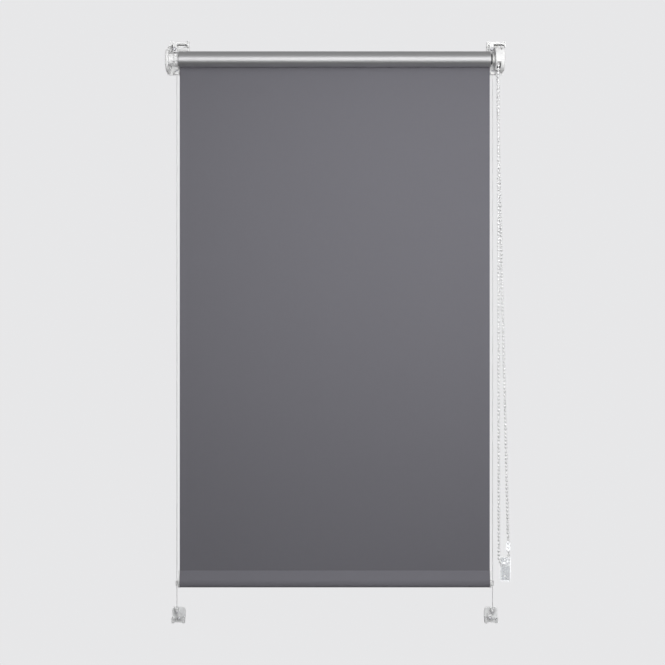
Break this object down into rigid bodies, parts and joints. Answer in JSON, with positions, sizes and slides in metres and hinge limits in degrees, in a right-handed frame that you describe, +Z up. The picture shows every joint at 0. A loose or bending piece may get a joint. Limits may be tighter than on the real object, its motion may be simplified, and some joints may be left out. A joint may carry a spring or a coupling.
{
  "type": "roller blind",
  "caption": "Clamp-on roller blind with a blackout cloth, side bead-chain drive, hooked sash brackets, weighted hem rail, side guide cords and a chain safety holder.",
  "frame": {"origin": "top edge of the window sash on its room face, midway across the cloth, where the brackets hook over", "axes": "+Z up, +X to the right seen from the room, +Y towards the window; the room is at -Y"},
  "size_m": [0.5547, 0.0643, 0.9378],
  "materials": {
    "white_plastic": "satin moulded ABS",
    "foam_pad": "matt foam",
    "grip_rubber": "matt",
    "zinc_steel": "bright zinc plated",
    "spring_steel": "satin",
    "tube_steel": "satin galvanised",
    "adhesive_tape": "matt",
    "cloth_reverse": "silver metallised coating, satin",
    "cloth_front": "fine matt weave, anthracite",
    "bar_aluminium": "mill finish",
    "dark_plastic": "satin",
    "acetal_plastic": "satin acetal",
    "clear_plastic": "clear polycarbonate",
    "frosted_plastic": "slightly frosted",
    "guide_cord": "clear nylon line",
    "chain_plastic": "satin"
  },
  "bodies": {
    "brackets": {"carrier_left": "white_plastic", "carrier_right": "white_plastic", "sash_pad_left": "foam_pad", "sash_pad_right": "foam_pad", "idle_socket": "white_plastic", "cord_anchor_left": "white_plastic", "cord_anchor_right": "white_plastic", "housing_base": "white_plastic", "housing_cover": "white_plastic", "housing_screws": "zinc_steel", "drive_core": "acetal_plastic", "core_clip": "zinc_steel", "clutch_springs": "spring_steel", "guide_cord_left": "guide_cord", "guide_cord_right": "guide_cord", "upper_ferrule_left": "zinc_steel", "upper_ferrule_right": "zinc_steel", "lower_ferrule_left": "zinc_steel", "lower_ferrule_right": "zinc_steel", "clip_body_left": "frosted_plastic", "clip_body_right": "frosted_plastic", "clip_sash_pad_left": "foam_pad", "clip_sash_pad_right": "foam_pad", "bead_chain": "chain_plastic", "tensioner_body": "clear_plastic", "tensioner_cover": "clear_plastic", "tensioner_pad": "foam_pad", "fabric_sheet": "cloth_front"},
    "roller": {"tube": "tube_steel", "fabric_roll": "cloth_reverse", "fabric_tape": "adhesive_tape", "idle_plug": "white_plastic", "idle_spring": "spring_steel", "drive_plug": "dark_plastic", "sprocket": "acetal_plastic"},
    "idle_pin": {"idle_pin": "acetal_plastic"},
    "bottom_rail": {"hem_pocket": "cloth_front", "bottom_bar": "bar_aluminium", "end_cap_left": "white_plastic", "end_cap_right": "white_plastic"},
    "chain_connector": {"chain_connector": "clear_plastic"},
    "hook_left": {"hook_left": "white_plastic", "hook_pad_left": "grip_rubber"},
    "clamp_screw_left": {"clamp_screw_left": "zinc_steel"},
    "clip_jaw_left": {"clip_jaw_left": "frosted_plastic", "clip_jaw_pad_left": "grip_rubber"},
    "clip_screw_left": {"clip_screw_left": "zinc_steel"},
    "hook_right": {"hook_right": "white_plastic", "hook_pad_right": "grip_rubber"},
    "clamp_screw_right": {"clamp_screw_right": "zinc_steel"},
    "clip_jaw_right": {"clip_jaw_right": "frosted_plastic", "clip_jaw_pad_right": "grip_rubber"},
    "clip_screw_right": {"clip_screw_right": "zinc_steel"}
  },
  "joints": [
    {"name": "roller_spin", "type": "hinge", "parent": "brackets", "child": "roller", "pos_m": [0, -0.023, -0.026], "axis": [1, 0, 0], "range_deg": [0, 3150], "deforming": ["bead_chain"]},
    {"name": "bottom_rail_lift", "type": "slide", "parent": "brackets", "child": "bottom_rail", "axis": [0, 0, 1], "range_m": [0, 0.79], "deforming": ["fabric_sheet"]},
    {"name": "chain_connector_travel", "type": "slide", "parent": "brackets", "child": "chain_connector", "axis": [-0.0247, -0.0072, 0.9997], "range_m": [0, 0.64]},
    {"name": "idle_pin_slide", "type": "slide", "parent": "roller", "child": "idle_pin", "axis": [1, 0, 0], "range_m": [0, 0.006], "stiffness_N_per_m": 400, "springref_m": -0.01, "deforming": ["idle_spring"]},
    {"name": "hook_left_slide", "type": "slide", "parent": "brackets", "child": "hook_left", "axis": [0, 1, 0], "range_m": [-0.004, 0.006]},
    {"name": "clamp_screw_left_turn", "type": "hinge", "parent": "brackets", "child": "clamp_screw_left", "pos_m": [-0.2575, -0.012, -0.009], "axis": [0, 1, 0], "range_deg": [-2061, 3089]},
    {"name": "clip_jaw_left_slide", "type": "slide", "parent": "brackets", "child": "clip_jaw_left", "axis": [0, 1, 0], "range_m": [-0.004, 0.006]},
    {"name": "clip_screw_left_turn", "type": "hinge", "parent": "brackets", "child": "clip_screw_left", "pos_m": [-0.2495, -0.012, -0.9224], "axis": [0, 1, 0], "range_deg": [-2883, 4323]},
    {"name": "hook_right_slide", "type": "slide", "parent": "brackets", "child": "hook_right", "axis": [0, 1, 0], "range_m": [-0.004, 0.006]},
    {"name": "clamp_screw_right_turn", "type": "hinge", "parent": "brackets", "child": "clamp_screw_right", "pos_m": [0.2529, -0.012, -0.009], "axis": [0, 1, 0], "range_deg": [-2061, 3089]},
    {"name": "clip_jaw_right_slide", "type": "slide", "parent": "brackets", "child": "clip_jaw_right", "axis": [0, 1, 0], "range_m": [-0.004, 0.006]},
    {"name": "clip_screw_right_turn", "type": "hinge", "parent": "brackets", "child": "clip_screw_right", "pos_m": [0.2495, -0.012, -0.9224], "axis": [0, 1, 0], "range_deg": [-2883, 4323]}
  ],
  "couplings": [
    {"joint": "bottom_rail_lift", "follows": "roller_spin", "m_per_rad": 0.01434},
    {"joint": "chain_connector_travel", "follows": "roller_spin", "m_per_rad": 0.011591},
    {"joint": "clamp_screw_left_turn", "follows": "hook_left_slide", "rad_per_m": 8976},
    {"joint": "clip_screw_left_turn", "follows": "clip_jaw_left_slide", "rad_per_m": 12566},
    {"joint": "clamp_screw_right_turn", "follows": "hook_right_slide", "rad_per_m": 8976},
    {"joint": "clip_screw_right_turn", "follows": "clip_jaw_right_slide", "rad_per_m": 12566}
  ]
}
